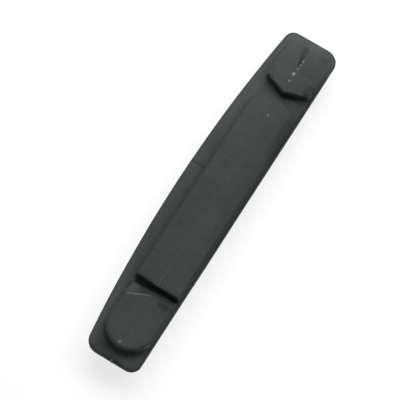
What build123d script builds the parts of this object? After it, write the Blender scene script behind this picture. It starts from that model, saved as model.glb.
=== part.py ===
import os
from math import radians, sqrt, tan

from build123d import *

# Replaceable insert of a bicycle rim brake, one piece of moulded rubber, in millimetres.
# The friction face lies down on Z = 0, the nose points to -X, and Y = 0 is the mould's parting plane.

# Flange between the friction block and the holder's rail
length = 72.0
flange_thickness = 1.2
inner_edge_y = 5.15         # parting plane to the straight edge, on the hub side
outer_end_y = 5.75          # parting plane to the curved edge, at the pad's ends
rim_radius = 280.0          # curve of the outer edge, which follows the rim
nose_outer_radius = 2.7     # corners of the flange's plan
nose_inner_radius = 2.1
tail_outer_radius = 1.9
tail_inner_radius = 2.6
flange_edge_radius = 0.6
top_draft = 1.5             # degrees, the top faces fall away from the parting plane

# Friction block under the flange
friction_height = 5.4
friction_ledge = 0.35       # flange left showing round the block
friction_side_draft = 9.0   # degrees
friction_end_slope = 23.0   # degrees
friction_hollow = 0.5       # how far the hub side bows in at mid length
friction_root_radius = 2.2  # corners of the block's plan, under the flange
friction_face_radius = 2.6  # the same, at the face
friction_bevel = 0.3        # round the face

# Water grooves across the friction face, each a ramp up to a wall, with a drain pocket at both ends
nose_groove_wall = 18.8     # from the nose end
tail_groove_wall = 20.9     # from the tail end
groove_depth = 1.3
groove_ramp_centre = 3.4
groove_ramp_side = 2.6
pocket_radius = 1.5
pocket_height = 1.3         # pocket axis above the friction face
pocket_depth = 2.6
pocket_taper = 12.0         # degrees

# Rail that slides into the holder
rail_width = 9.4
rail_height = 2.4           # above the flange
rail_edge_radius = 0.35
nose_ledge = 2.5            # flange left showing in front of the rail
nose_rise = 3.6             # depth of the arc of the rail's nose
nose_blend_radius = 2.0
rail_tail = 14.0            # end of the rail, from the tail end
rail_end_rise = 1.5         # depth of the arc of the rail's end
rail_end_radius = 2.0       # where that arc meets the rail's sides

# Stop notch across the rail: a ramp down from the nose to a wall that takes the braking load
stop_wall = 15.9            # from the nose end
stop_depth = 3.0            # below the rail's top
stop_ramp_inner = 2.0
stop_ramp_centre = 2.3
stop_ramp_outer = 4.4

# Tail stop behind the rail: a block of the rail's width and height, with a V-shaped wall turned to the nose
tail_stop_vertex = 12.45    # from the tail end
tail_stop_side = 10.65      # from the tail end, at the block's sides
tail_stop_vertex_radius = 0.7
tail_stop_inner_radius = 1.6    # corners at the ends of the wall
tail_stop_outer_radius = 0.7
tail_ramp_start = 8.5       # from the tail end, where the block's top begins to slope down
tail_ramp_end = 0.9         # from the tail end, where the slope has sunk into the flange

nose_x = -length / 2
tail_x = length / 2
flange_top = friction_height + flange_thickness
rail_top = flange_top + rail_height
rail_half = rail_width / 2
rim_centre_y = outer_end_y - sqrt(rim_radius**2 - (length / 2) ** 2)
widest_y = rim_centre_y + rim_radius


def outer_edge_y(x, inset):
    """Curved outer edge of the pad at x, moved in by inset."""
    return rim_centre_y + sqrt((rim_radius - inset) ** 2 - x**2)


def inner_edge_at(x, inset):
    """Hollow inner edge of the friction block at x, moved in by inset."""
    return inset - inner_edge_y + friction_hollow * (1 - (2 * x / length) ** 2)


def friction_outline(side_inset, end_inset, corner_radius):
    """Plan of the friction block, set in from the flange's edges."""
    start_x = nose_x + end_inset
    end_x = tail_x - end_inset
    with BuildSketch() as outline:
        with BuildLine():
            inner = ThreePointArc(
                (start_x, inner_edge_at(start_x, side_inset)),
                (0, inner_edge_at(0, side_inset)),
                (end_x, inner_edge_at(end_x, side_inset)),
            )
            tail = Line(inner @ 1, (end_x, outer_edge_y(end_x, side_inset)))
            outer = ThreePointArc(
                tail @ 1,
                (0, outer_edge_y(0, side_inset)),
                (start_x, outer_edge_y(start_x, side_inset)),
            )
            Line(outer @ 1, inner @ 0)
        make_face()
        fillet(outline.vertices(), corner_radius)
    return outline.sketch


def cut_crown(top):
    """Trims a top to two faces that fall away from the parting plane."""
    fall = widest_y * tan(radians(top_draft))
    with BuildSketch(Plane.YZ) as crown:
        Polygon(
            (0, top),
            (widest_y, top - fall),
            (widest_y, top + fall),
            (-widest_y, top + fall),
            (-widest_y, top - fall),
            align=None,
        )
    extrude(crown.sketch, amount=length, both=True, mode=Mode.SUBTRACT)


def round_rim(solid, radius):
    """Rounds the edges where the tops of a solid meet its upright walls."""
    tops = solid.faces().filter_by(lambda face: face.normal_at().Z > 0.5)
    walls = solid.faces().filter_by(lambda face: abs(face.normal_at().Z) < 0.1)
    fillet([edge for edge in tops.edges() if edge in walls.edges()], radius)


def cut_ramp_notch(wall_x, face_z, depth, reach, ramps):
    """Cuts a notch with an upright wall and a ramp, whose lengths at y = -reach, 0 and reach are given.

    A negative ramp lies on the nose side of the wall, and a negative depth goes down from face_z.
    """
    profiles = []
    for y, ramp in zip((-reach, 0, reach), ramps):
        with BuildSketch(Plane.XZ.offset(-y)) as profile:
            Polygon(
                (wall_x, face_z - depth),
                (wall_x, face_z + depth),
                (wall_x + ramp, face_z),
                (wall_x + ramp, face_z - depth),
                align=None,
            )
        profiles.append(profile.sketch)
    loft(profiles, ruled=True, mode=Mode.SUBTRACT)


def cut_drain_pocket(x, mouth_y, inward):
    """Cuts a tapered blind pocket into the side of the friction block."""
    mouth = Plane((x, mouth_y, pocket_height), x_dir=(1, 0, 0), z_dir=(0, inward, 0))
    with BuildSketch(mouth) as pocket:
        Circle(pocket_radius)
    extrude(pocket.sketch, amount=pocket_depth, taper=pocket_taper, mode=Mode.SUBTRACT)


with BuildPart() as rail:
    # Straight bar with a rounded nose and a flatter arc at the tail
    nose_tip = nose_x + nose_ledge
    with BuildSketch(Plane.XY.offset(friction_height)) as rail_plan:
        with BuildLine():
            nose = ThreePointArc(
                (nose_tip + nose_rise, rail_half),
                (nose_tip, 0),
                (nose_tip + nose_rise, -rail_half),
            )
            end_x = tail_x - rail_tail
            inner_side = Line(nose @ 1, (end_x - rail_end_rise, -rail_half))
            end = ThreePointArc(inner_side @ 1, (end_x, 0), (end_x - rail_end_rise, rail_half))
            Line(end @ 1, nose @ 0)
        make_face()
        fillet(rail_plan.vertices().group_by(Axis.X)[0], nose_blend_radius)
        fillet(rail_plan.vertices().group_by(Axis.X)[-1], rail_end_radius)
    extrude(amount=flange_thickness + rail_height)
    cut_crown(rail_top)
    round_rim(rail, rail_edge_radius)

with BuildPart() as tail_stop:
    # Block with a pointed wall, and a top that slopes down into the flange at the tail end
    ramp_end_x = tail_x - tail_ramp_end
    with BuildSketch(Plane.XY.offset(friction_height)) as stop_plan:
        Polygon(
            (tail_x - tail_stop_vertex, 0),
            (tail_x - tail_stop_side, -rail_half),
            (ramp_end_x, -rail_half),
            (ramp_end_x, rail_half),
            (tail_x - tail_stop_side, rail_half),
            align=None,
        )
        vertex, *corners = stop_plan.vertices().sort_by(Axis.X)[:3]
        inner_corner, outer_corner = sorted(corners, key=lambda corner: corner.Y)
        fillet(inner_corner, tail_stop_inner_radius)
        fillet(stop_plan.vertices().sort_by_distance(outer_corner)[0], tail_stop_outer_radius)
        fillet(stop_plan.vertices().sort_by_distance(vertex)[0], tail_stop_vertex_radius)
    extrude(amount=flange_thickness + rail_height)
    cut_crown(rail_top)
    ramp_end_z = flange_top - 2 * rail_half * tan(radians(top_draft))
    with BuildSketch(Plane.XZ) as ramp:
        Polygon(
            (tail_x - tail_ramp_start, rail_top),
            (ramp_end_x, ramp_end_z),
            (tail_x, ramp_end_z),
            (tail_x, rail_top + rail_height),
            (tail_x - tail_ramp_start, rail_top + rail_height),
            align=None,
        )
    extrude(ramp.sketch, amount=rail_width, both=True, mode=Mode.SUBTRACT)
    round_rim(tail_stop, rail_edge_radius)

with BuildPart() as brake_pad:
    # Flange: a straight inner edge and an outer edge that follows the rim
    with BuildSketch(Plane.XY.offset(friction_height)) as flange_plan:
        with BuildLine():
            inner_edge = Line((nose_x, -inner_edge_y), (tail_x, -inner_edge_y))
            tail_edge = Line(inner_edge @ 1, (tail_x, outer_end_y))
            outer_edge = ThreePointArc(tail_edge @ 1, (0, widest_y), (nose_x, outer_end_y))
            Line(outer_edge @ 1, inner_edge @ 0)
        make_face()
        for end, side, corner_radius in (
            (0, 0, nose_inner_radius),
            (0, -1, nose_outer_radius),
            (-1, 0, tail_inner_radius),
            (-1, -1, tail_outer_radius),
        ):
            end_corners = flange_plan.vertices().group_by(Axis.X)[end].sort_by(Axis.Y)
            fillet(end_corners[side], corner_radius)
    extrude(amount=flange_thickness)
    cut_crown(flange_top)
    round_rim(brake_pad, flange_edge_radius)

    # Friction block, drawn in from the flange down to its bevelled face
    wall_height = friction_height - friction_bevel
    side_inset = friction_ledge + wall_height * tan(radians(friction_side_draft))
    end_inset = friction_ledge + wall_height * tan(radians(friction_end_slope))
    with BuildSketch(Plane.XY.offset(friction_height)):
        add(friction_outline(friction_ledge, friction_ledge, friction_root_radius))
    with BuildSketch(Plane.XY.offset(friction_bevel)):
        add(friction_outline(side_inset, end_inset, friction_face_radius))
    with BuildSketch():
        add(friction_outline(side_inset + friction_bevel, end_inset + friction_bevel, friction_face_radius))
    loft(ruled=True)

    # Grooves and pockets of the friction face
    for wall_x, ramp_way in ((nose_x + nose_groove_wall, -1), (tail_x - tail_groove_wall, 1)):
        side_ramp = ramp_way * groove_ramp_side
        ramps = (side_ramp, ramp_way * groove_ramp_centre, side_ramp)
        cut_ramp_notch(wall_x, 0, groove_depth, widest_y, ramps)
        pocket_x = wall_x + ramp_way * pocket_radius
        cut_drain_pocket(pocket_x, inner_edge_at(pocket_x, friction_ledge), 1)
        cut_drain_pocket(pocket_x, outer_edge_y(pocket_x, friction_ledge), -1)

    # Holder side: the rail with the notch across it, and the tail stop
    add(rail.part)
    add(tail_stop.part)
    stop_ramps = (-stop_ramp_inner, -stop_ramp_centre, -stop_ramp_outer)
    cut_ramp_notch(nose_x + stop_wall, rail_top, -stop_depth, rail_half, stop_ramps)

os.makedirs("parts", exist_ok=True)
brake_pad.part.label = "brake_pad"
export_step(brake_pad.part, "parts/brake_pad.step")
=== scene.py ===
import math

import bmesh
import bpy
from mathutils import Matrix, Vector, noise


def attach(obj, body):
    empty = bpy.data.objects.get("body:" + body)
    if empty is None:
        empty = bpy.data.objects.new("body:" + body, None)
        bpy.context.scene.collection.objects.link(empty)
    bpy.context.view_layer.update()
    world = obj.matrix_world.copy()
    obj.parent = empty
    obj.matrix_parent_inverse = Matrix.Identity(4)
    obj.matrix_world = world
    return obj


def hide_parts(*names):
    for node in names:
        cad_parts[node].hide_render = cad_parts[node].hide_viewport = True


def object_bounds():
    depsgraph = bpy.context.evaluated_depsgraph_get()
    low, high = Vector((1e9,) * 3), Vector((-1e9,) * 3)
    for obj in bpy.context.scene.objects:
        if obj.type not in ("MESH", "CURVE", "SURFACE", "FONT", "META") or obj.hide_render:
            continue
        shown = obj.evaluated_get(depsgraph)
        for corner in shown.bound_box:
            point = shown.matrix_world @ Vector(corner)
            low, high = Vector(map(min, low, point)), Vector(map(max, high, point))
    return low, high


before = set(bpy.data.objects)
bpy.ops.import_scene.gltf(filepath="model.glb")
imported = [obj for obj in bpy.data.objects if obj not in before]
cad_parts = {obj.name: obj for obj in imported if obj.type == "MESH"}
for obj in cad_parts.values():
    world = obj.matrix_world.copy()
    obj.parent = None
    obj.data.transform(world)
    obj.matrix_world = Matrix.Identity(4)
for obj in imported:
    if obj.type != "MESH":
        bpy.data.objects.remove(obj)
cad_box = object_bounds()


# Brake pad insert: one compression-moulded block of dark grey-green rubber compound, as it leaves the
# mould. Flange, friction block, rail and both stops are one piece, with softly rounded moulded edges.
# It slides into a metal holder by its rail, so nothing is fixed to it.

MM = 0.001                      # metres
voxel = 0.23                    # mm, about the radius of the moulded edges
weld_gap = 0.001                # mm
smooth_passes = 3
smooth_share = 0.5              # of the way to the neighbours, on each pass
eased_feet = (                  # mm: lowest and highest corner of each stretch; then its smoothing passes
    ((-40.0, -5.3, 6.0), (40.0, -4.5, 7.3), 4),
    ((19.6, -4.4, 7.6), (22.6, 4.4, 9.2), 12),
    ((24.9, -4.2, 7.0), (31.5, 4.2, 9.1), 160),
    ((26.0, 3.7, 6.9), (35.4, 5.3, 9.2), 10),
)
wave_height = 0.03              # mm, slow unevenness of the moulded faces
wave_length = 9.0
orange_peel_height = 0.012      # mm, quick unevenness
orange_peel_length = 1.4
orange_peel_start = Vector((31, 7, 3))          # keeps its pattern apart from the slow one
flat_face_z = 0.8               # mm, the unevenness fades out below this
holder_side_z = 6.2             # mm, flaw, mould line and lean are all above this
flaw_path = (                   # a torn flaw in the tail's top; mm: x, y, half width, depth; then darkness
    (33.9, 1.08, 0.70, 0.14, 0.60),
    (32.6, 0.92, 0.66, 0.18, 0.60),
    (31.3, 0.68, 0.34, 0.36, 0.95),
    (29.9, 0.48, 0.24, 0.30, 0.95),
)
flaw_steepness = 1.8
mark_x = 4.05                   # mm, a fine mould line across the flange's outer side
mark_half_width = 0.17
mark_depth = 0.16
mark_inner_y = 4.95
notch_wall_x = -20.0            # mm, the notch's wall leans a little to the nose, but for its outer end
lean_most = 0.22
lean_reach = 0.7
lean_share = ((0.7, 1.0), (3.2, 0.0))           # mm across, share of the lean


def in_millimetres(mesh):
    """Copy of a mesh that is in metres, scaled up to be shaped in millimetres."""
    copy = bmesh.new()
    copy.from_mesh(mesh)
    bmesh.ops.scale(copy, vec=(1 / MM, 1 / MM, 1 / MM), verts=copy.verts)
    return copy


def softened_copy(node, name):
    """Welds a copy of a solid's mesh and remeshes it in millimetres, so that its sharp edges round off."""
    welded = in_millimetres(node.data)
    bmesh.ops.remove_doubles(welded, verts=welded.verts, dist=weld_gap)
    sharp = bpy.data.meshes.new(name + "_sharp")
    welded.to_mesh(sharp)
    welded.free()
    rough = bpy.data.objects.new(name + "_sharp", sharp)
    bpy.context.scene.collection.objects.link(rough)
    remesh = rough.modifiers.new("remesh", "REMESH")
    remesh.mode = "VOXEL"
    remesh.voxel_size = voxel
    remesh.adaptivity = 0.0
    smooth = rough.modifiers.new("smooth", "SMOOTH")
    smooth.factor = smooth_share
    smooth.iterations = smooth_passes
    evaluated = rough.evaluated_get(bpy.context.evaluated_depsgraph_get())
    soft = bpy.data.meshes.new_from_object(evaluated)
    soft.name = name
    bpy.data.objects.remove(rough)
    bpy.data.meshes.remove(sharp)
    eased = bmesh.new()
    eased.from_mesh(soft)
    for low, high, passes in eased_feet:
        foot = [vertex for vertex in eased.verts if all(a < b < c for a, b, c in zip(low, vertex.co, high))]
        for _ in range(passes):
            bmesh.ops.smooth_vert(eased, verts=foot, factor=smooth_share, use_axis_y=True, use_axis_z=True)
    eased.to_mesh(soft)
    eased.free()
    return soft


def flaw_at(point):
    """Depth in millimetres and darkness of the flaw at a point."""
    depth = dark = 0.0
    if point.z > holder_side_z:
        for first, second in zip(flaw_path, flaw_path[1:]):
            run = Vector(second[:2]) - Vector(first[:2])
            share = min(1.0, max(0.0, (point.xy - Vector(first[:2])).dot(run) / run.length_squared))
            x, y, half_width, full_depth, full_dark = (a + share * (b - a) for a, b in zip(first, second))
            near = math.exp(-flaw_steepness * (point.xy - Vector((x, y))).length_squared / half_width**2)
            depth = max(depth, full_depth * near)
            dark = max(dark, full_dark * near)
    return depth, dark


def unevenness(point):
    """How far a moulded face stands proud at a point, in millimetres, less the flaw and the mould line."""
    proud = wave_height * noise.noise(point / wave_length)
    proud += orange_peel_height * noise.noise(point / orange_peel_length + orange_peel_start)
    proud *= min(1.0, point.z / flat_face_z)
    proud -= flaw_at(point)[0]
    if point.z > holder_side_z and point.y > mark_inner_y:
        proud -= mark_depth * math.exp(-((point.x - mark_x) / mark_half_width) ** 2)
    return proud


def between(stops, x):
    """Value at x on a line through (place, value) stops."""
    for (start, low), (end, high) in zip(stops, stops[1:]):
        if x <= end:
            return low + (high - low) * max(0.0, (x - start) / (end - start))
    return stops[-1][1]


def notch_lean(point):
    """How far the notch's wall leans to the nose at a point, in millimetres."""
    if point.z < holder_side_z:
        return Vector()
    near = math.exp(-((point.x - notch_wall_x) / lean_reach) ** 2)
    return Vector((lean_most * near * between(lean_share, point.y), 0, 0))


def show(name, mesh, material):
    """Puts a finished mesh, given in millimetres, in the scene as a piece that rides on the part."""
    for vertex in mesh.vertices:
        vertex.co *= MM
    mesh.polygons.foreach_set("use_smooth", [True] * len(mesh.polygons))
    mesh.update()
    mesh.materials.clear()
    mesh.materials.append(material)
    piece = bpy.data.objects.new(name, mesh)
    bpy.context.scene.collection.objects.link(piece)
    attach(piece, "root")
    return piece


class Shade:
    """One socket of a node tree: arithmetic on it adds Math nodes, and node() adds any other node."""

    def __init__(self, socket):
        self.socket = socket

    def node(self, kind, settings, values, output=0):
        made = self.socket.id_data.nodes.new(kind)
        for name, setting in settings.items():
            setattr(made, name, setting)
        for name, value in values.items():
            if isinstance(value, Shade):
                self.socket.id_data.links.new(value.socket, made.inputs[name])
            else:
                made.inputs[name].default_value = value
        return Shade(made.outputs[output])

    def feed(self, shade):
        self.socket.id_data.links.new(shade.socket, self.socket)

    def math(self, operation, first, second):
        return self.node("ShaderNodeMath", {"operation": operation}, {0: first, 1: second})

    def clamped(self):
        return self.node("ShaderNodeClamp", {}, {"Value": self})

    def __add__(self, other):
        return self.math("ADD", self, other)

    def __sub__(self, other):
        return self.math("SUBTRACT", self, other)

    def __rsub__(self, other):
        return self.math("SUBTRACT", other, self)

    def __mul__(self, other):
        return self.math("MULTIPLY", self, other)

    def __truediv__(self, other):
        return self.math("DIVIDE", self, other)

    def __rtruediv__(self, other):
        return self.math("DIVIDE", other, self)

    __radd__ = __add__
    __rmul__ = __mul__


def new_surface(material):
    """Empties a material's nodes and gives its surface socket."""
    material.use_nodes = True
    material.node_tree.nodes.clear()
    return Shade(material.node_tree.nodes.new("ShaderNodeOutputMaterial").inputs["Surface"])


def millimetres(surface):
    """Places on a piece in millimetres."""
    place = surface.node("ShaderNodeTexCoord", {}, {}, "Object")
    return surface.node("ShaderNodeVectorMath", {"operation": "SCALE"}, {0: place, "Scale": 1 / MM})


def grain(surface, place, size, detail):
    """Even noise with spots of a size in millimetres, from 0 to 1."""
    values = {"Vector": place, "Scale": 1 / size, "Detail": detail, "Roughness": grain_roughness}
    return surface.node("ShaderNodeTexNoise", {"noise_dimensions": "3D"}, values, "Fac")


def fade(value, none_at, whole_at):
    """Goes evenly from 0 where a value is none_at to 1 where it is whole_at."""
    return ((value - none_at) / (whole_at - none_at)).clamped()


def patches(along, across, rows):
    """Sum of soft round patches, from rows of weight, x, y, half length and half width in millimetres."""
    total = 0.0
    for weight, x, y, half_length, half_width in rows:
        far_along = (along - x) / half_length
        far_across = (across - y) / half_width
        total = total + weight * (1 - far_along * far_along - far_across * far_across).clamped()
    return total


def blended(surface, share, first, second):
    """Colour between two colours. A Mix node's sockets go by number, because several share a name."""
    return surface.node("ShaderNodeMix", {"data_type": "RGBA"}, {0: share, 6: first, 7: second}, 2)


grain_roughness = 0.55          # share of each finer layer of the noise
grain_middle = 0.5

rubber = bpy.data.materials.new("pad_rubber_moulded")
surface = new_surface(rubber)
place = millimetres(surface)
along = surface.node("ShaderNodeSeparateXYZ", {}, {"Vector": place}, "X")
across = surface.node("ShaderNodeSeparateXYZ", {}, {"Vector": place}, "Y")
height = surface.node("ShaderNodeSeparateXYZ", {}, {"Vector": place}, "Z")
edge = surface.node("ShaderNodeNewGeometry", {}, {}, "Pointiness")
flaw = surface.node("ShaderNodeAttribute", {"attribute_name": "flaw"}, {}, "Fac")
cloud = grain(surface, place, size=6.0, detail=3.0)
mottle = grain(surface, place, size=1.1, detail=2.0)
speckle = grain(surface, place, size=0.32, detail=1.0)
grit = grain(surface, place, size=0.13, detail=1.0)
specks = grain(surface, place, size=0.45, detail=0.0)

# Regions of the moulding, in mm: where each begins, and where it is whole
upper_side_z = (5.0, 5.25)
rim_z = (6.38, 6.18)            # rounded edge of the flange
rim_outer_y = (-4.40, -4.067)
tail_side_x = (22.0, 25.0)
tail_edge_y = (4.30, 4.55)      # foot of the tail stop's outer side
tail_ledge_y = (5.40, 5.15)
tail_start_x = 25.0             # the painted light toward the tail grows from here
tail_run = 9.5
nose_end_x = (-34.8, -35.05)
outer_half_x = (-20.0, 30.0)
inner_wall_y = (-4.55, -4.675)  # side of the rail that faces the hub
inner_foot_y = (-4.943, -4.80)
nose_foot_z = (8.0, 7.5)        # foot of the wall round the rail's nose
strip_width = (1.3, 0.4)        # in from the curved outer edge
strip_ends = (100.0, 300.0)     # square mm, of the distance from mid length
curved_edge_y = 8.06            # at mid length
curved_edge_radius = 280.0
convex_edge = (0.51, 0.5933)    # of Pointiness, which is a half where the surface is flat
hollow_edge = (0.49, 0.3789)
rim_inner_share = 0.5           # how much of the rim's painted highlight is left on the hub side

upper_side = fade(height, *upper_side_z)
rim_share = rim_inner_share + (1 - rim_inner_share) * fade(across, *rim_outer_y)
rim = fade(height, *rim_z) * upper_side * rim_share
tail_side = fade(along, *tail_side_x) * across.clamped()
tail_edge = tail_side * fade(across, *tail_edge_y) * fade(across, *tail_ledge_y)
toward_tail = fade(along, tail_start_x, tail_start_x + tail_run)
inner_wall = fade(across, *inner_wall_y) * fade(across, *inner_foot_y)
from_edge = curved_edge_y - along * along / (2 * curved_edge_radius) - across
outer_strip = fade(from_edge, *strip_width) * upper_side

# Mottled compound of random tone, paler toward the outer side, with painted light and painted shade in soft
# patches
rubber_deep = (0.0180, 0.0238, 0.0222, 1)
rubber_pale = (0.0345, 0.0422, 0.0400, 1)
tone_middle = 0.5               # between the two colours
tone_outward = 0.07             # paler for each mm to the outer side
cloud_tone = 1.3                # how far each grain moves the tone
mottle_tone = 1.3
speckle_tone = 0.8
painted_light_share = 0.35               # how far the patches of weight 1 move it
painted_shade_share = 0.5
# Painted light: paler tone where rims, edges and tops catch more light
painted_light_patches = (                # weight; mm: x, y, half length, half width
    (1.0, 20.0, 3.5, 9.0, 5.0),
    (0.75, -29.0, 1.0, 8.0, 6.0),
    (2.0, -26.0, 6.6, 9.0, 1.8),
    (2.8, 20.0, 6.2, 9.5, 1.8),
    (1.2, -33.5, 5.0, 2.0, 1.0),
    (0.35, 10.0, 0.3, 8.0, 1.6),
    (2.0, -33.0, -4.8, 2.5, 1.3),
    (2.2, -25.0, -4.9, 3.4, 1.0),
)
# Painted shade: darker tone in the shadows by the nose, the notch's ramp, the V's arms and the inner wall
painted_shade_patches = (
    (1.4, -35.2, 0.0, 1.5, 2.2),
    (0.3, -10.0, 6.5, 8.0, 2.0),
    (1.1, -22.7, -3.0, 1.2, 1.9),
    (0.45, 2.0, -4.0, 24.0, 1.8),
    (0.80, 0.0, -4.55, 30.0, 0.45),
    (0.25, -8.0, 3.4, 13.0, 2.8),
    (0.8, -34.2, 3.0, 1.2, 2.0),
    (1.2, 23.4, 2.6, 0.8, 1.6),
    (1.0, 24.1, 3.8, 0.7, 0.9),
    (1.0, 26.4, -3.8, 1.4, 1.1),
    (0.8, 22.8, -3.9, 1.0, 0.9),
    (1.0, -33.4, -1.8, 0.9, 1.6),
)

to_outer_side = across * fade(along, *outer_half_x)
# Painted light and painted shade laid into the tone
painted_light_and_shade = painted_light_share * patches(along, across, painted_light_patches) - painted_shade_share * patches(along, across, painted_shade_patches)
tone = tone_middle + tone_outward * to_outer_side + painted_light_and_shade * upper_side
tone = tone + cloud_tone * (cloud - grain_middle) + mottle_tone * (mottle - grain_middle)
tone = tone + speckle_tone * (speckle - grain_middle)
colour = blended(surface, tone.clamped(), rubber_deep, rubber_pale)

# Paler colour: real dust specks and worn edges, with painted highlights on edges and rims and painted light
# toward the tail
dust_and_painted_light_colour = (0.060, 0.067, 0.064, 1)
edge_wear_and_highlight_least = 0.2              # worn edges with a painted highlight, on any sharp edge
rail_end_painted_highlight = 0.7           # painted highlight, more on the rail's end
edge_speckle_cut = 0.56           # only spots above this show
dust_strength = 2.5
dust_rarity = 0.70              # only specks above this show
tail_painted_light = 0.65               # painted light in each region
tail_painted_light_cloud = 0.6
tail_edge_painted_light = 0.3
rim_painted_highlight = 0.3
nose_rim_painted_highlight = 0.9
strip_painted_light = 0.32
strip_end_painted_light = 0.20
rail_end_highlight_patch = ((1.0, 21.2, 0.0, 2.4, 7.0),)
# Painted light in spots: the lit end of the notch's ramp, and shade lifted in the notch's foot and the V's
# corner; one spot darkens instead
painted_light_spots = (
    (0.6, -22.5, 3.5, 1.5, 1.2),
    (1.0, -20.8, -1.9, 0.45, 2.9),
    (0.5, -21.6, 3.7, 0.7, 0.9),
    (0.45, 35.0, -5.0, 4.0, 1.2),
    (-0.45, 34.8, -3.6, 2.8, 2.4),
    (0.35, 32.0, -5.2, 3.5, 0.7),
    (0.35, 20.0, 5.8, 9.5, 1.6),
    (0.30, -29.0, 5.6, 7.0, 1.4),
    (0.08, -28.0, -1.5, 6.0, 3.5),
    (0.5, 23.5, -1.8, 0.6, 1.6),
    (0.16, 26.0, -4.3, 0.9, 0.8),
)

# Painted highlight along convex edges, partly real wear
edge_wear_and_painted_highlight = edge_wear_and_highlight_least + rail_end_painted_highlight * patches(along, across, rail_end_highlight_patch)
edge_wear_and_painted_highlight = (edge_wear_and_painted_highlight + (speckle - edge_speckle_cut).clamped()) * fade(edge, *convex_edge)
dust = dust_strength * (specks - dust_rarity).clamped()
# Painted light toward the lit tail, on the tail stop's edge, the rim, the outer strip and in spots; the
# dust specks are real
dust_and_painted_light = edge_wear_and_painted_highlight + dust + toward_tail * toward_tail * (tail_painted_light + tail_painted_light_cloud * cloud)
dust_and_painted_light = dust_and_painted_light + tail_edge_painted_light * tail_edge + (rim_painted_highlight + nose_rim_painted_highlight * fade(along, *nose_end_x)) * rim
strip = strip_painted_light + strip_end_painted_light * fade(along * along, *strip_ends)
dust_and_painted_light = dust_and_painted_light + outer_strip * (1 - toward_tail) * strip
dust_and_painted_light = dust_and_painted_light + patches(along, across, painted_light_spots) * upper_side
colour = blended(surface, dust_and_painted_light.clamped(), colour, dust_and_painted_light_colour)

# Painted shade in concave creases, left off at two lit feet, and painted shade under the nose's wall;
# the flaw is darker in its middle
painted_crease_shade_colour = (0.0150, 0.0200, 0.0185, 1)
flaw_and_painted_shade_colour = (0.007, 0.010, 0.009, 1)
painted_crease_shade_share = 0.8
lit_feet = ((1.0, -20.9, -0.5, 1.0, 5.5), (1.0, 23.6, -2.0, 0.9, 2.4))
nose_feet_painted_shade = ((0.6, -34.0, 2.2, 0.9, 1.8), (0.6, -33.0, -2.0, 0.9, 1.8))

# Painted shade: darker colour in concave creases
painted_crease_shade = fade(edge, *hollow_edge) * (1 - tail_side) * (1 - patches(along, across, lit_feet))
colour = blended(surface, painted_crease_shade_share * painted_crease_shade, colour, painted_crease_shade_colour)
# Painted shade at the foot of the nose's wall, together with the flaw's darkness
flaw_and_nose_painted_shade = flaw + patches(along, across, nose_feet_painted_shade) * upper_side * fade(height, *nose_foot_z)
colour = blended(surface, flaw_and_nose_painted_shade.clamped(), colour, flaw_and_painted_shade_colour)

# Fine grain of the mould, duller on the rail's inner wall and in a few places on top
rubber_roughness = 0.44
rubber_roughness_spread = 0.16
rubber_gloss = 0.13
inner_wall_roughness = 0.30     # added there
inner_wall_speckle = 0.6
speckle_relief = 0.5            # share of each grain in the bump
mottle_relief = 0.3
grit_relief = 0.35
bump_strength = 0.6
bump_depth = 0.06 * MM
dull_patches = (
    (0.28, -22.8, -3.1, 1.0, 1.8),
    (0.18, 26.8, -4.0, 1.3, 0.9),
    (0.18, 16.0, -4.1, 6.5, 1.1),
)

roughness = rubber_roughness + rubber_roughness_spread * mottle
roughness = roughness + inner_wall * (inner_wall_roughness + inner_wall_speckle * (speckle - grain_middle))
roughness = roughness + patches(along, across, dull_patches) * upper_side
relief = speckle_relief * speckle + mottle_relief * mottle + grit_relief * grit
bump = {"Strength": bump_strength, "Distance": bump_depth, "Height": relief}
surface.feed(surface.node("ShaderNodeBsdfPrincipled", {}, {
    "Base Color": colour,
    "Roughness": roughness,
    "Normal": surface.node("ShaderNodeBump", {}, bump),
    "Specular IOR Level": rubber_gloss,
}))

moulding_mesh = softened_copy(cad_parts["brake_pad"], "brake_pad_moulding")
flaw_dark = moulding_mesh.attributes.new("flaw", "FLOAT", "POINT")
flaw_dark.data.foreach_set("value", [flaw_at(vertex.co)[1] for vertex in moulding_mesh.vertices])
shifts = [
    vertex.normal * unevenness(vertex.co) - notch_lean(vertex.co)
    for vertex in moulding_mesh.vertices
]
for vertex, shift in zip(moulding_mesh.vertices, shifts):
    vertex.co += shift
moulding = show("brake_pad_moulding", moulding_mesh, rubber)
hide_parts("brake_pad")


# Mould flash: a thin ragged fin of the same rubber, squeezed into the joint of the two mould halves and
# torn off. It runs round the insert along the parting plane and leaves small pale nubs where it tore;
# their paleness is partly a painted highlight. A like lip is left on the rim of the notch's ramp, with a
# painted highlight along it.

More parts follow.
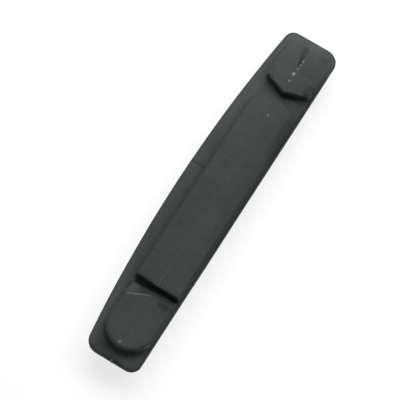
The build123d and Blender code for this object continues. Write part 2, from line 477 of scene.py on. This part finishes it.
flash_step = 0.1                # mm between cross-sections
flash_root = 0.10               # mm sunk in the moulding
flash_half_width = (0.098, 0.168)               # mm, narrowest and widest
flash_least_height = 0.006      # mm
flash_height = 0.03             # mm more where it shows clearly
flash_clearness = (0.3, 1.7)
flash_wander = 0.05             # mm to either side
flash_paleness = 0.05
tail_paleness = 0.085
flash_floor_z = 0.5             # mm, the friction face has none
on_plane = 1e-5                 # mm
first_sections = 50             # at the foot of the nose, where the flash begins
direction_reach = 2             # cross-sections to either side that give the direction
flash_profile = (               # shares of the half width, the height, the root's depth and the paleness
    (-1.0, 0.0, 1.0, 0.5),
    (-0.85, 0.35, 0.0, 0.5),
    (-0.35, 1.0, 0.0, 1.0),
    (0.35, 1.0, 0.0, 1.0),
    (0.85, 0.35, 0.0, 0.5),
    (1.0, 0.0, 1.0, 0.5),
)
flash_stretches = (             # mm along the pad, and how clearly the flash shows there
    (-36.0, 0.10),
    (-32.0, 0.10),
    (-22.0, 0.15),
    (-19.8, 1.50),
    (-14.0, 1.00),
    (-11.0, 0.30),
    (-2.0, 0.40),
    (0.0, 0.75),
    (9.0, 0.60),
    (12.0, 0.20),
    (22.0, 0.25),
    (36.0, 0.30),
)
flash_nubs = (                  # mm: place along and across, height, half length, half width; then paleness
    (-35.9, 0.00, 0.08, 0.34, 0.26, 0.26),
    (-33.3, 0.16, 0.08, 0.26, 0.22, 0.12),
    (-32.7, 0.22, 0.14, 0.42, 0.34, 0.32),
    (18.2, 0.02, 0.08, 0.42, 0.36, 0.20),
    (26.1, 0.18, 0.10, 0.36, 0.33, 0.26),
    (27.7, 0.22, 0.18, 0.52, 0.42, 0.62),
    (29.1, 0.20, 0.10, 0.36, 0.33, 0.20),
    (30.1, 0.16, 0.10, 0.36, 0.32, 0.20),
    (31.1, 0.14, 0.11, 0.44, 0.33, 0.26),
    (34.9, 0.45, 0.05, 0.90, 0.34, 0.12),
)
nub_steepness = 2.2
nub_least = 0.03
nub_widening = 0.5              # powers of a nub's share: under 1, it widens and shifts the flash early
nub_shifting = 0.3
end_walls_x = 35.0              # mm, nubs beyond this stand on the end walls
tear_pattern = (0.11, 3.7, 0.0)                 # pace along the sections, then where the noise is read
nick_pattern = (0.37, 9.1, 4.0)
wander_pattern = (0.03, 1.3, 8.0)
lip_pattern = (0.23, 5.2, 2.0)
pad_top_z = cad_box[1][2] / MM
top_fall = 0.026                # fall of the tops for each mm away from the parting plane
lip_path = ((-24.35, 4.25), (-23.4, 2.2), (-22.6, 0.4), (-22.4, -0.6))          # mm
# Painted highlight along the lip, fading out at its inner end
lip_painted_highlight = (0.07, 0.15, 0.08, 0.00)
lip_painted_highlight_range = (0.5, 1.5)
lip_half_width = (0.168, 0.312)
lip_height = (0.015, 0.065)


def parting_line(mesh):
    """Points in millimetres where a mesh crosses the parting plane, from the nose's foot over the top."""
    cut = in_millimetres(mesh)
    whole = list(cut.verts) + list(cut.edges) + list(cut.faces)
    found = bmesh.ops.bisect_plane(cut, geom=whole, dist=on_plane, plane_co=(0, 0, 0), plane_no=(0, 1, 0))
    edges = {item for item in found["geom_cut"] if isinstance(item, bmesh.types.BMEdge)}
    corners = {vertex for edge in edges for vertex in edge.verts}
    above = [vertex for vertex in corners if vertex.co.z > flash_floor_z]
    corner = min(above, key=lambda vertex: vertex.co.x + vertex.co.z)
    points = [corner.co.copy()]
    while edges:
        ways = [edge for edge in corner.link_edges if edge in edges]
        if not ways:
            break
        way = max(ways, key=lambda edge: edge.other_vert(corner).co.z) if len(points) == 1 else ways[0]
        edges.discard(way)
        corner = way.other_vert(corner)
        points.append(corner.co.copy())
    cut.free()
    return points


def evenly_spaced(points, step):
    """Points along a bent line, a step apart."""
    spaced = [points[0]]
    left = step
    for start, end in zip(points, points[1:]):
        run = (end - start).length
        while run >= left:
            start = start + (end - start) * (left / run)
            spaced.append(start)
            run -= left
            left = step
        left -= run
    return spaced


def forward_at(points, index):
    """Direction of a line of points at one of them."""
    before = points[max(0, index - direction_reach)]
    after = points[min(len(points) - 1, index + direction_reach)]
    return (after - before).normalized()


def uneven(index, pattern):
    """Share from 0 to 1 that varies smoothly from one cross-section to the next."""
    pace, *read_at = pattern
    return 0.5 + 0.5 * noise.noise(Vector((index * pace, *read_at)))


def within(limits, share):
    """Value at a share of the way from the lower to the upper limit."""
    low, high = limits
    return low + (high - low) * share


def flash_run(build, torn, line, shapes):
    """Lays a low ridge on (point, outward, sideways) rows, with (shift, half width, height, paleness)."""
    rings = []
    for (point, outward, sideways), (shift, half_width, height, pale) in zip(line, shapes):
        ring = []
        for side, up, sunk, paleness in flash_profile:
            rise = up * height - sunk * flash_root
            vertex = build.verts.new(point + outward * rise + sideways * (shift + side * half_width))
            vertex[torn] = paleness * pale
            ring.append(vertex)
        rings.append(ring)
    for first, second in zip(rings, rings[1:]):
        for corner in range(len(first)):
            following = (corner + 1) % len(first)
            build.faces.new((first[corner], first[following], second[following], second[corner]))
    build.faces.new(rings[0])
    build.faces.new(list(reversed(rings[-1])))


flash_build = bmesh.new()
torn = flash_build.verts.layers.float.new("torn")

points = evenly_spaced(parting_line(moulding_mesh), flash_step)
below = [index for index, point in enumerate(points) if index > first_sections and point.z < flash_floor_z]
if below:
    points = points[:below[0]]
line = []
shapes = []
for index, point in enumerate(points):
    forward = forward_at(points, index)
    outward = Vector((-forward.z, 0, forward.x))
    nicked = uneven(index, nick_pattern)
    clear = between(flash_stretches, point.x)
    clear *= within(flash_clearness, uneven(index, tear_pattern) * nicked)
    ridge_height = flash_least_height + flash_height * clear
    half_width = within(flash_half_width, nicked)
    shift = within((-flash_wander, flash_wander), uneven(index, wander_pattern))
    pale = flash_paleness * clear + tail_paleness * max(0.0, (point.x - tail_start_x) / tail_run) ** 2
    for nub_x, nub_y, nub_height, nub_length, nub_width, nub_pale in flash_nubs:
        lump = math.exp(-nub_steepness * ((point.x - nub_x) / nub_length) ** 2)
        lump *= max(0.0, outward.z) if abs(point.x) < end_walls_x else 1.0
        if lump > nub_least:
            ridge_height = max(ridge_height, nub_height * lump)
            half_width += (nub_width - half_width) * lump**nub_widening
            shift += (nub_y - shift) * lump**nub_shifting
            pale = max(pale, nub_pale * lump)
    line.append((point, outward, Vector((0, 1, 0))))
    shapes.append((shift, half_width, ridge_height, pale))
flash_run(flash_build, torn, line, shapes)

upward = Vector((0, 0, 1))
lip_tops = [Vector((x, y, pad_top_z - abs(y) * top_fall)) for x, y in lip_path]
lip_stops = [(-y, pale) for (_, y), pale in zip(lip_path, lip_painted_highlight)]
points = evenly_spaced(lip_tops, flash_step)
line = []
shapes = []
for index, point in enumerate(points):
    ragged = uneven(index, lip_pattern)
    pale = between(lip_stops, -point.y) * within(lip_painted_highlight_range, ragged)
    line.append((point, upward, forward_at(points, index).cross(upward).normalized()))
    shapes.append((0.0, within(lip_half_width, ragged), within(lip_height, ragged), pale))
flash_run(flash_build, torn, line, shapes)

bmesh.ops.recalc_face_normals(flash_build, faces=flash_build.faces)
flash_mesh = bpy.data.meshes.new("parting_flash")
flash_build.to_mesh(flash_mesh)
flash_build.free()

moulded_colour = (0.031, 0.0375, 0.0355, 1)     # as the moulding beside it
flash_colour = (0.044, 0.051, 0.048, 1)
# Pale torn rubber, partly a painted highlight on the nubs and the lip
torn_and_highlight_colour = (0.36, 0.38, 0.37, 1)
flash_shows = 12                # times the paleness at which the flash has its own colour
torn_least = 0.55
torn_fray = 0.8
fray_depth = 0.05 * MM

torn_rubber = bpy.data.materials.new("pad_rubber_torn")
surface = new_surface(torn_rubber)
fray = grain(surface, millimetres(surface), size=0.5, detail=2.0)
paleness = surface.node("ShaderNodeAttribute", {"attribute_name": "torn"}, {}, "Fac")
dim = blended(surface, (flash_shows * paleness).clamped(), moulded_colour, flash_colour)
torn_share = (paleness * (torn_least + torn_fray * fray)).clamped()
bump = {"Strength": bump_strength, "Distance": fray_depth, "Height": fray}
surface.feed(surface.node("ShaderNodeBsdfPrincipled", {}, {
    "Base Color": blended(surface, torn_share, dim, torn_and_highlight_colour),
    "Roughness": rubber_roughness + rubber_roughness_spread * fray,
    "Normal": surface.node("ShaderNodeBump", {}, bump),
    "Specular IOR Level": rubber_gloss,
}))
show("parting_flash", flash_mesh, torn_rubber)


# Floor: a plain white sheet that the insert lies on. It lights the insert from below as white paper does,
# and shows as white to the camera, with the insert's soft shadow kept.

floor_half = 1.5                # metres
floor_z = -0.02 * MM            # just clear of the friction face
floor_white = 0.82
floor_seen = 0.25               # share of the floor's own light and shade in what is seen
floor_lift = 0.77               # white added to what is seen


def seen_rays(surface):
    """1 for rays that are seen, also in gloss or through glass, and 0 for those that light the part."""
    camera, glossy, through = (
        surface.node("ShaderNodeLightPath", {}, {}, ray)
        for ray in ("Is Camera Ray", "Is Glossy Ray", "Is Transmission Ray")
    )
    return (camera + glossy + through).clamped()


floor_mesh = bpy.data.meshes.new("floor_sheet")
sides = ((-1, -1), (1, -1), (1, 1), (-1, 1))
corners = [(x * floor_half, y * floor_half, floor_z) for x, y in sides]
floor_mesh.from_pydata(corners, [], [(0, 1, 2, 3)])
paper = bpy.data.materials.new("floor_white")
surface = new_surface(paper)
lit = surface.node("ShaderNodeBsdfDiffuse", {}, {"Color": (floor_white, floor_white, floor_white, 1)})
shaded = surface.node("ShaderNodeBsdfDiffuse", {}, {"Color": (floor_seen, floor_seen, floor_seen, 1)})
lift = surface.node("ShaderNodeEmission", {}, {"Color": (1, 1, 1, 1), "Strength": floor_lift})
white = surface.node("ShaderNodeAddShader", {}, {0: shaded, 1: lift})
surface.feed(surface.node("ShaderNodeMixShader", {}, {0: seen_rays(surface), 1: lit, 2: white}))
floor_mesh.materials.append(paper)
floor = bpy.data.objects.new("floor_sheet", floor_mesh)
bpy.context.scene.collection.objects.link(floor)


# Studio light: a wide soft box high over the tail end, a smaller and dimmer one beside it on the hub side,
# and dim white walls all round, so that the faces turned to the nose stay dark and every shadow is soft.

box_distance = 0.36             # metres from the part
wall_light = 0.11
wall_white = 1.0                # as the camera sees the walls


def soft_box(name, toward, size, watts):
    """Square area lamp in a direction from the part, turned to it."""
    lamp = bpy.data.lights.new(name, "AREA")
    lamp.shape = "SQUARE"
    lamp.size = size
    lamp.energy = watts
    lamp.color = (1, 1, 1)
    box = bpy.data.objects.new(name, lamp)
    box.location = Vector(toward).normalized() * box_distance
    box.rotation_euler = Vector(toward).to_track_quat("Z", "Y").to_euler()
    bpy.context.scene.collection.objects.link(box)


soft_box("key_soft_box", toward=(0.45, 0.17, 0.88), size=0.26, watts=1.13)
soft_box("side_soft_box", toward=(0.42, -0.40, 0.82), size=0.14, watts=0.42)

room = bpy.data.worlds.new("studio_walls")
bpy.context.scene.world = room
room.use_nodes = True
room.node_tree.nodes.clear()
surface = Shade(room.node_tree.nodes.new("ShaderNodeOutputWorld").inputs["Surface"])
dim_walls = surface.node("ShaderNodeBackground", {}, {"Color": (1, 1, 1, 1), "Strength": wall_light})
white_walls = surface.node("ShaderNodeBackground", {}, {"Color": (1, 1, 1, 1), "Strength": wall_white})
walls = {0: seen_rays(surface), 1: dim_walls, 2: white_walls}
surface.feed(surface.node("ShaderNodeMixShader", {}, walls))


# Camera: a long lens above the nose end, turned so that the insert lies from the frame's lower left to its
# upper right.

camera_azimuth = math.radians(-58.2)
camera_elevation = math.radians(72.0)
camera_distance = 0.6           # metres
camera_aim = Vector((0, 0, 6.0)) * MM
aim_right = -2.895 * MM         # from the aim to the middle of the frame
aim_up = 0.120 * MM
sensor_width = 36.0             # mm
focal_length = 294.4            # mm
nearest = 0.05                  # metres
farthest = 20.0

back = Vector((math.sin(camera_azimuth) * math.cos(camera_elevation),
               -math.cos(camera_azimuth) * math.cos(camera_elevation),
               math.sin(camera_elevation)))
right = Vector((math.cos(camera_azimuth), math.sin(camera_azimuth), 0))
lens = bpy.data.cameras.new("photo_lens")
lens.sensor_width = sensor_width
lens.lens = focal_length
lens.clip_start = nearest
lens.clip_end = farthest
camera = bpy.data.objects.new("photo_lens", lens)
camera.location = camera_aim + right * aim_right + back.cross(right) * aim_up + back * camera_distance
camera.rotation_euler = back.to_track_quat("Z", "Y").to_euler()
bpy.context.scene.collection.objects.link(camera)
bpy.context.scene.camera = camera

bpy.context.scene.view_settings.view_transform = "Standard"
